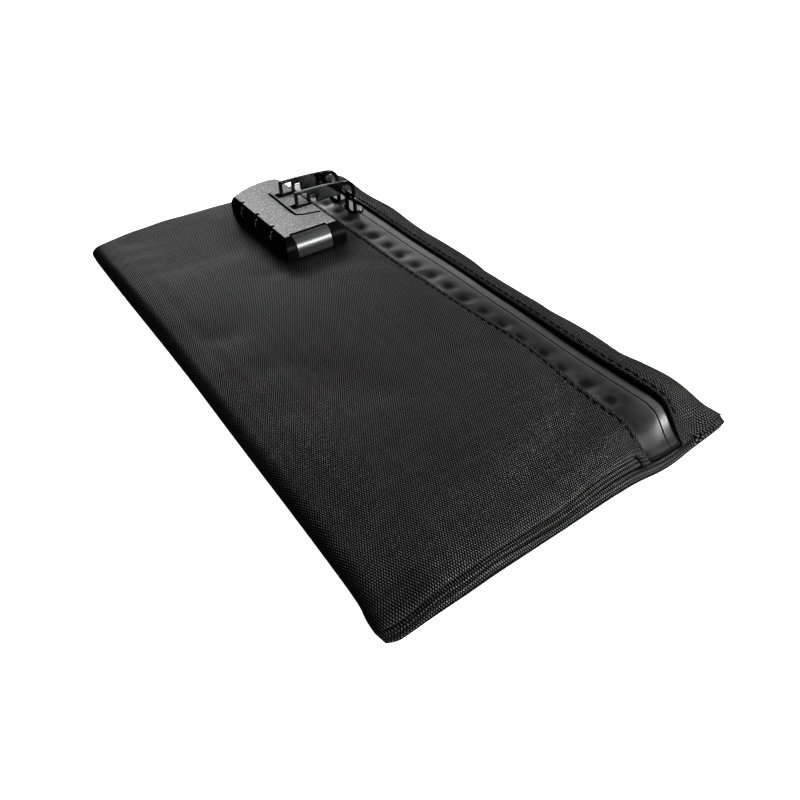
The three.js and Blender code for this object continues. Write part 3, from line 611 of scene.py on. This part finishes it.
def settle_cloth(points):
    """Where the cloth comes to rest: a coarse copy of the cover's grid is let go, oversized and slack,
    and the way that it moves is carried to the fine grid."""
    along_x = np.hypot(*np.diff(points[:, points.shape[1] // 4, :2], axis=0).T)
    around = np.linalg.norm(np.diff(points[points.shape[0] // 2], axis=0), axis=1)
    place_x = np.concatenate([[0], np.cumsum(along_x)])
    place_s = np.concatenate([[0], np.cumsum(around)])
    rows, columns = spaced_out(place_x), spaced_out(place_s)
    coarse = points[np.ix_(rows, columns)]
    obj = grid_object("cloth_copy", coarse, coarse[..., :2], flip=True)
    held = held_down(*coarse.reshape(-1, 3).T)
    group = obj.vertex_groups.new(name="held")
    for i, weight in enumerate(held):
        group.add([i], float(weight), "REPLACE")
    cloth = obj.modifiers.new("cloth", "CLOTH")
    settings = cloth.settings
    settings.quality = 6
    settings.mass = 0.25
    settings.tension_stiffness = settings.compression_stiffness = 22
    settings.shear_stiffness = 8
    settings.bending_stiffness = 0.35
    settings.shrink_min = -0.009
    settings.use_pressure = True
    settings.uniform_pressure_force = 0.25
    settings.vertex_group_mass = "held"
    settings.pin_stiffness = 6
    settings.effector_weights.gravity = 0
    cloth.collision_settings.use_collision = False
    cloth.collision_settings.use_self_collision = False
    cloth.point_cache.frame_start, cloth.point_cache.frame_end = 1, CLOTH_FRAMES
    scene = bpy.context.scene
    for frame_number in range(1, CLOTH_FRAMES + 1):
        scene.frame_set(frame_number)
    moved = obj.evaluated_get(bpy.context.evaluated_depsgraph_get()).data
    found = np.empty(len(moved.vertices) * 3)
    moved.vertices.foreach_get("co", found)
    shift = found.reshape(coarse.shape) / MM - coarse
    size = np.linalg.norm(shift, axis=-1, keepdims=True)
    shift *= LARGEST_MOVE * np.tanh(size / LARGEST_MOVE) / np.maximum(size, 1e-6)
    scene.frame_set(1)
    mesh = obj.data
    bpy.data.objects.remove(obj)
    bpy.data.meshes.remove(mesh)
    wide = np.stack([[np.interp(place_s, place_s[columns], row[:, c]) for c in range(3)] for row in shift])
    spread = np.stack([np.stack([np.interp(place_x, place_x[rows], wide[:, c, j]) for c in range(3)], -1)
                       for j in range(len(place_s))], 1)
    return points + soften(spread, SOFTENING)


def soften(values, passes):
    """Averages each grid value with its neighbours."""
    for _ in range(passes):
        for axis in (0, 1):
            before, after = np.roll(values, 1, axis), np.roll(values, -1, axis)
            blurred = 0.25 * before + 0.5 * values + 0.25 * after
            inner = [slice(None)] * 3
            inner[axis] = slice(1, -1)
            values = values.copy()
            values[tuple(inner)] = blurred[tuple(inner)]
    return values


def build_cover():
    """The outer cover: its lofted shape, settled as cloth and given its thickness."""
    points, flat = cover_grid()
    points = settle_cloth(points)
    cover = grid_object("pouch_cover", points, flat, flip=True)
    return thicken(cover, COVER_THICKNESS)


cover = build_cover()
dress(cover, COVER_CLOTH, "pouch", "cover_fabric", "outer_cover")


# ---------------------------------------------------------------- the zip
def puckers(x, y):
    """How far the sewing pulls the tape down beside the near seam, in soft gathers."""
    depth = np.zeros(np.broadcast(x, y).shape)
    for k in range(-11, 12):
        centre = k * PUCKER_PITCH
        lean = 0.55 * (y - PUCKER_LINE)
        depth = depth + (0.50 + 0.15 * math.cos(k * 3.1)) * bump(x - lean, centre, 3.6) \
            * bump(y, PUCKER_LINE - 0.8, 4.2)
    return depth


def tape_grid(y, edge_drop):
    """A tape's grid of points: it sags towards the near seam, and its edge at the slit is rounded down."""
    x = pattern_stations(TAPE_STEP)[:, None]
    y = np.asarray(y, float)[None, :]
    sag = -1.1 * smooth(SLIT_Y + 1, NEAR_EDGE, y) * (y < SLIT_Y)
    gathers = puckers(x, y) * smooth(HALF_X - 18, HALF_X - 26, np.abs(x))
    z = TAPE_TOP + TAPE_LIFT + 0 * x + sag - gathers + edge_drop[None, :]
    z = z + 0.8 * swell(x, y) + 0.25 * np.sin(x / 7.0) * bump(y, NEAR_EDGE + 1, 3)
    inset = np.sign(x) * 0.5 * smooth(END_REACH, 4, PATTERN_HALF - np.abs(x))
    points = drape(x + 0 * y, y + 0 * x, z)
    points[..., 0] -= inset
    flat = np.stack(np.broadcast_arrays(x, y), -1)
    return points, flat


def build_tapes():
    """The two coated tapes, one on each side of the slit, with rounded edges along it."""
    beside_slit = np.array([0.05, 0.05, 0.10, 0.20, 0.40, 0.8])
    rounding = np.array([-1.0, -0.30, -0.12, -0.04, 0.0])
    near_y = np.concatenate([np.arange(NEAR_EDGE - 5, SLIT_Y - 1.1, 0.6), SLIT_Y - beside_slit[::-1]])
    near_drop = np.concatenate([np.zeros(len(near_y) - len(rounding)), rounding[::-1]])
    far_y = np.concatenate([SLIT_Y + beside_slit, np.arange(SLIT_Y + 1.3, FAR_EDGE + 5, 0.6)])
    far_drop = np.concatenate([rounding, np.zeros(len(far_y) - len(rounding))])
    for name, y, drop, node in (("tape_near", near_y, near_drop, "zip_tape_near"),
                                ("tape_far", far_y, far_drop, "zip_tape_far")):
        points, flat = tape_grid(y, drop)
        tape = thicken(grid_object(name, points, flat), TAPE_THICKNESS)
        dress(tape, FILM, "pouch", "zip_tape", node)


build_tapes()


def build_coils():
    """Wound nylon teeth under each tape, following the tape down at both ends."""
    steps, sides, wire, pitch = 12, 6, 0.34, 1.25
    half_x = PATTERN_HALF - 7
    turns = int(2 * half_x / pitch)
    angle = np.arange(turns * steps + 1) * 2 * math.pi / steps
    x = -half_x + angle * pitch / (2 * math.pi)
    for node, name in (("zip_coil_near", "coil_near"), ("zip_coil_far", "coil_far")):
        low, high = box_mm(node)
        middle_y, middle_z = (low[1] + high[1]) / 2, (low[2] + high[2]) / 2
        reach_y, reach_z = (high[1] - low[1]) / 2 - wire, (high[2] - low[2]) / 2 - wire
        centre = drape(x, middle_y + reach_y * np.cos(angle), middle_z + reach_z * np.sin(angle))
        ahead = np.gradient(centre, axis=0)
        ahead /= np.linalg.norm(ahead, axis=1, keepdims=True)
        core = drape(x, middle_y + 0 * x, middle_z + 0 * x)
        outward = centre - core
        outward -= ahead * (outward * ahead).sum(1, keepdims=True)
        outward /= np.linalg.norm(outward, axis=1, keepdims=True)
        across = np.cross(ahead, outward)
        around = np.arange(sides) * 2 * math.pi / sides
        ring = centre[:, None] + wire * (outward[:, None] * np.cos(around)[None, :, None]
                                         + across[:, None] * np.sin(around)[None, :, None])
        index = np.arange(len(x) * sides).reshape(len(x), sides)
        after = np.roll(index, -1, axis=1)
        quads = np.stack([index[:-1], after[:-1], after[1:], index[1:]], -1).reshape(-1, 4).tolist()
        mesh = bpy.data.meshes.new(name)
        caps = [index[0][::-1].tolist(), index[-1].tolist()]
        mesh.from_pydata((ring.reshape(-1, 3) * MM).tolist(), [], quads + caps)
        shade(mesh)
        dress(new_object(name, mesh), COIL, "pouch", "zip_coil", node)


build_coils()


# ---------------------------------------------------------------- stitching
STITCH_LENGTH = 3.0
STITCH_GAP = 1.1
THREAD_RADIUS = 0.43


def stitch_row(name, y_of, z_of):
    """Lockstitches along X: each a short thread that rises from one needle hole and dives into the next."""
    bm = bmesh.new()
    sides, steps = 6, 7
    pitch = STITCH_LENGTH + STITCH_GAP
    margin = 9.5
    for k in range(int(2 * (PATTERN_HALF - margin) / pitch)):
        start = -PATTERN_HALF + margin + k * pitch
        jitter = noise.noise(Vector((k * 1.7, len(name), 3.1))) * 0.18
        x = start + np.linspace(0, STITCH_LENGTH, steps)
        arch = 0.66 * np.sin(np.linspace(0, math.pi, steps)) ** 0.6 - 0.34
        path = drape(x, y_of(x) + jitter, z_of(x) + arch)
        rings = []
        for i in range(steps):
            ahead = path[min(i + 1, steps - 1)] - path[max(i - 1, 0)]
            ahead = Vector(ahead).normalized()
            across = ahead.cross(Vector((0, 0, 1))).normalized()
            up = across.cross(ahead)
            thin = THREAD_RADIUS * (0.55 if i in (0, steps - 1) else 1.0)
            ring = []
            for j in range(sides):
                angle = 2 * math.pi * j / sides
                offset = across * math.cos(angle) * thin + up * math.sin(angle) * thin
                ring.append(bm.verts.new((Vector(path[i]) + offset) * MM))
            rings.append(ring)
        for ring, following in zip(rings, rings[1:]):
            for j in range(sides):
                after = (j + 1) % sides
                bm.faces.new((ring[j], ring[after], following[after], following[j]))
        bm.faces.new(rings[0][::-1])
        bm.faces.new(rings[-1])
    bmesh.ops.recalc_face_normals(bm, faces=bm.faces)
    mesh = bpy.data.meshes.new(name)
    bm.to_mesh(mesh)
    bm.free()
    shade(mesh)
    dress(new_object(name, mesh), THREAD, "pouch", "cover_fabric")


stitch_row("stitches_near", lambda x: STITCH_NEAR_Y + hem_shift(x), lambda x: TOP - 0.1 + swell(x, NEAR_EDGE))
stitch_row("stitches_far", lambda x: STITCH_FAR_Y + 0 * x, lambda x: FAR_TOP + 0.9 * crown(x) - 0.05)


# ---------------------------------------------------------------- inner layers
def inner_layer(name, inset, material, slot, node):
    """A closed cloth pouch inside the cover, open along the zip."""
    x = pattern_stations(LAYER_STEP)
    y, z = cross_section(x)
    kept = slice(HEM_COLUMNS + SEAM_COLUMNS, -FAR_HEM_COLUMNS)
    y, z = y[:, kept], z[:, kept]
    shrink_y = 1 - inset / HALF_Y
    z = inset + z * (TOP - 2 * inset) / TOP - 0.6 * (z > FOLD_HEIGHT)
    points = drape(x[:, None] + 0 * y, y * shrink_y, z)
    end_gap = inset + 3.0 * smooth(END_REACH + 6, 6, PATTERN_HALF - np.abs(x))
    points[..., 0] -= (np.sign(x) * end_gap)[:, None]
    flat = np.stack(np.broadcast_arrays(x[:, None], y), -1)
    obj = thicken(grid_object(name, points, flat, flip=True), LAYER_THICKNESS)
    dress(obj, material, "pouch", slot, node)


inner_layer("barrier_pouch", 1.3, BARRIER_CLOTH, "barrier_cloth", "fire_barrier")
inner_layer("lining_pouch", 2.4, LINING_CLOTH, "lining_foil", "inner_lining")


# ---------------------------------------------------------------- hard parts
def finer(node, name, material, slot, body, width, segments=3, angle=28):
    """A copy of a CAD node with its edges rounded, which stands for it."""
    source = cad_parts[node].data
    bm = bmesh.new()
    bm.from_mesh(source)
    bmesh.ops.remove_doubles(bm, verts=bm.verts, dist=1e-6)
    bmesh.ops.dissolve_limit(bm, angle_limit=math.radians(1.0), verts=bm.verts, edges=bm.edges)
    mesh = bpy.data.meshes.new(name)
    bm.to_mesh(mesh)
    bm.free()
    obj = new_object(name, mesh)
    modifier = obj.modifiers.new("edges", "BEVEL")
    modifier.width = width * MM
    modifier.segments = segments
    modifier.limit_method = "ANGLE"
    modifier.angle_limit = math.radians(angle)
    shade(mesh)
    weighted = obj.modifiers.new("normals", "WEIGHTED_NORMAL")
    weighted.keep_sharp = True
    settle(obj)
    return dress(obj, material, body, slot, node)


finer("lock_housing", "housing_shell", HOUSING, "lock_body", "pouch", width=0.3)
finer("lock_top_plate", "top_plate", PLATE, "lock_plate", "pouch", width=0.22)
finer("release_button", "button", GLOSS, "lock_button", "button", width=0.35)
button_spring = finer("button_spring", "button_spring_wire", STEEL, "steel", "pouch", width=0.03,
                      segments=1, angle=60)
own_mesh(button_spring)
for k in (1, 2):
    finer(f"zip_slider_{k}", f"slider_{k}_casting", NICKEL, "dark_nickel", f"slider_{k}",
          width=0.12)
    finer(f"zip_puller_{k}", f"puller_{k}_plate", NICKEL, "dark_nickel", f"puller_{k}",
          width=0.32, segments=4)
for k in (1, 2, 3):
    finer(f"dial_{k}", f"dial_{k}_wheel", DIAL, "dial_black", f"dial_{k}", width=0.15, segments=2)

NUMERAL_SIZE = 2.5
NUMERAL_RISE = 0.10
# Where a numeral's middle lies, as a share of the dial's radius.
NUMERAL_SEAT = 0.985


def dial_numerals(k):
    """Ten raised numerals, 0 to 9, one on each land between a dial's finger grooves."""
    low, high = box_mm(f"dial_{k}")
    centre = (low + high) / 2
    radius = (high[2] - low[2]) / 2
    bm = bmesh.new()
    for digit in range(10):
        curve = bpy.data.curves.new(f"numeral_{digit}", "FONT")
        curve.body = str(digit)
        curve.size = NUMERAL_SIZE * MM
        curve.extrude = NUMERAL_RISE * MM
        curve.resolution_u = 3
        curve.align_x = "CENTER"
        curve.align_y = "CENTER"
        obj = new_object(f"numeral_{digit}", curve)
        settled = bpy.data.meshes.new_from_object(obj.evaluated_get(bpy.context.evaluated_depsgraph_get()))
        angle = digit * 2 * math.pi / 10
        outward = Vector((0, math.cos(angle), math.sin(angle)))
        along = Vector((0, math.sin(angle), -math.cos(angle)))
        turn = Matrix((Vector((1, 0, 0)), along, Vector((1, 0, 0)).cross(along))).transposed()
        at = Vector(centre * MM) + outward * radius * MM * NUMERAL_SEAT
        settled.transform(Matrix.Translation(at) @ turn.to_4x4())
        bm.from_mesh(settled)
        bpy.data.objects.remove(obj)
        bpy.data.curves.remove(curve)
        bpy.data.meshes.remove(settled)
    mesh = bpy.data.meshes.new(f"dial_{k}_numerals")
    bm.to_mesh(mesh)
    bm.free()
    dress(new_object(f"dial_{k}_numerals", mesh), NUMERAL, f"dial_{k}", "lock_plate")


for k in (1, 2, 3):
    dial_numerals(k)

STEEL_NODES = ["lock_base_plate", "latch_plate", "latch_spring", "dial_spindle", "detent_spring"]
STEEL_NODES += [f"lock_screw_{k}" for k in (1, 2, 3, 4)]
BRASS_NODES = [f"dial_sleeve_{k}" for k in (1, 2, 3)]
for nodes, material in ((STEEL_NODES, STEEL), (BRASS_NODES, BRASS)):
    for node in nodes:
        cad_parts[node].data.materials.clear()
        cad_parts[node].data.materials.append(material)


# ---------------------------------------------------------------- floor, light and camera
FLOOR_GLOW = 0.93
WORLD_STRENGTH = 0.03
VIEW_GAMMA = 0.86
# The camera's place is in metres, its angles are in degrees and its lens is in millimetres.
CAMERA_AT = (0.2206, -0.1237, 0.1794)
CAMERA_HEADING = 146.03
CAMERA_PITCH = 41.6
CAMERA_ROLL = -1.93
CAMERA_LENS = 30.0


def build_floor():
    """A pale floor that curves up into a pale wall all round."""
    flat, cove, wall_top, sides = 7.0, 3.0, 7.0, 64
    arc = np.linspace(0, math.pi / 2, 9)[1:]
    profile = [(flat, 0)] + [(flat + cove * math.sin(a), cove * (1 - math.cos(a))) for a in arc]
    profile.append((flat + cove, wall_top))
    turn = np.arange(sides) * 2 * math.pi / sides
    points = [(0, 0, 0)]
    points += [(radius * math.cos(a), radius * math.sin(a), z) for radius, z in profile for a in turn]
    faces = [(0, 1 + k, 1 + (k + 1) % sides) for k in range(sides)]
    for ring in range(len(profile) - 1):
        for k in range(sides):
            low, after = 1 + ring * sides + k, 1 + ring * sides + (k + 1) % sides
            faces.append((low, low + sides, after + sides, after))
    mesh = bpy.data.meshes.new("floor")
    mesh.from_pydata(points, [], faces)
    shade(mesh)
    floor = new_object("floor", mesh)
    floor.location.z = -0.0002
    f = Finish("pale_floor", Specular_IOR_Level=0.0, Roughness=0.9)
    cloud = f.noise(f.place(), 3.0, 2.0)
    f.shader.inputs["Emission Color"].default_value = (1, 1, 1, 1)
    f.shader.inputs["Emission Strength"].default_value = FLOOR_GLOW
    mesh.materials.append(f.use(Base_Color=f.mix(cloud, grey(0.80), grey(0.84))))
    floor.visible_diffuse = False
    floor.visible_glossy = False
    floor.visible_shadow = False


def area_light(name, at, aim, size, power):
    """A rectangular lamp that the camera doesn't see; places and sizes are in metres, power in watts."""
    light = bpy.data.lights.new(name, "AREA")
    light.shape = "RECTANGLE"
    light.size, light.size_y = size
    light.energy = power
    obj = new_object(name, light)
    obj.location = at
    obj.rotation_euler = (Vector(aim) - Vector(at)).to_track_quat("-Z", "Y").to_euler()
    obj.visible_camera = False


def build_lights():
    """Soft lamps around the pouch, and a broad sun from the zip's side."""
    world = bpy.data.worlds.new("studio")
    world.use_nodes = True
    background = world.node_tree.nodes["Background"]
    background.inputs["Color"].default_value = (1, 1, 1, 1)
    background.inputs["Strength"].default_value = WORLD_STRENGTH
    bpy.context.scene.world = world
    sun = bpy.data.lights.new("sky_panel", "SUN")
    sun.energy = 1.0
    sun.angle = math.radians(40)
    obj = new_object("sky_panel", sun)
    obj.rotation_euler = Vector((0.1, -0.75, -0.66)).to_track_quat("-Z", "Y").to_euler()
    area_light("back_panel", (-0.85, 0.66, 0.55), (-0.04, 0.03, 0), (1.2, 0.34), 5)
    area_light("far_panel", (-1.15, 0.26, 0.46), (-0.12, -0.02, 0), (0.35, 0.18), 5)
    area_light("side_panel", (1.10, 0.52, 0.40), (0.12, 0.0, 0), (0.7, 0.25), 40)
    area_light("bend_panel", (0.14, 0.76, 0.72), (0.135, 0.04, 0.015), (0.4, 0.2), 11)
    area_light("small_lamp", (-0.02, -0.27, 0.23), (-0.09, 0.0, 0.02), (0.03, 0.03), 0.35)
    area_light("front_panel", (0.20, -1.40, 0.50), (0, 0, 0), (1.2, 0.4), 1.5)


def build_camera():
    """The camera looks down along the pouch from its +X end."""
    camera = bpy.data.cameras.new("camera")
    camera.sensor_width = 36.0
    camera.lens = CAMERA_LENS
    camera.clip_start = 0.01
    obj = new_object("camera", camera)
    heading, pitch, roll = (math.radians(a) for a in (CAMERA_HEADING, CAMERA_PITCH, CAMERA_ROLL))
    reach = math.cos(pitch)
    forward = Vector((math.cos(heading) * reach, math.sin(heading) * reach, -math.sin(pitch)))
    level = forward.cross(Vector((0, 0, 1))).normalized()
    upright = level.cross(forward)
    right = level * math.cos(roll) + upright * math.sin(roll)
    up = right.cross(forward)
    turn = Matrix((right, up, -forward)).transposed()
    obj.matrix_world = Matrix.Translation(CAMERA_AT) @ turn.to_4x4()
    bpy.context.scene.camera = obj


build_floor()
build_lights()
build_camera()
bpy.context.scene.view_settings.view_transform = "Standard"
bpy.context.scene.view_settings.gamma = VIEW_GAMMA
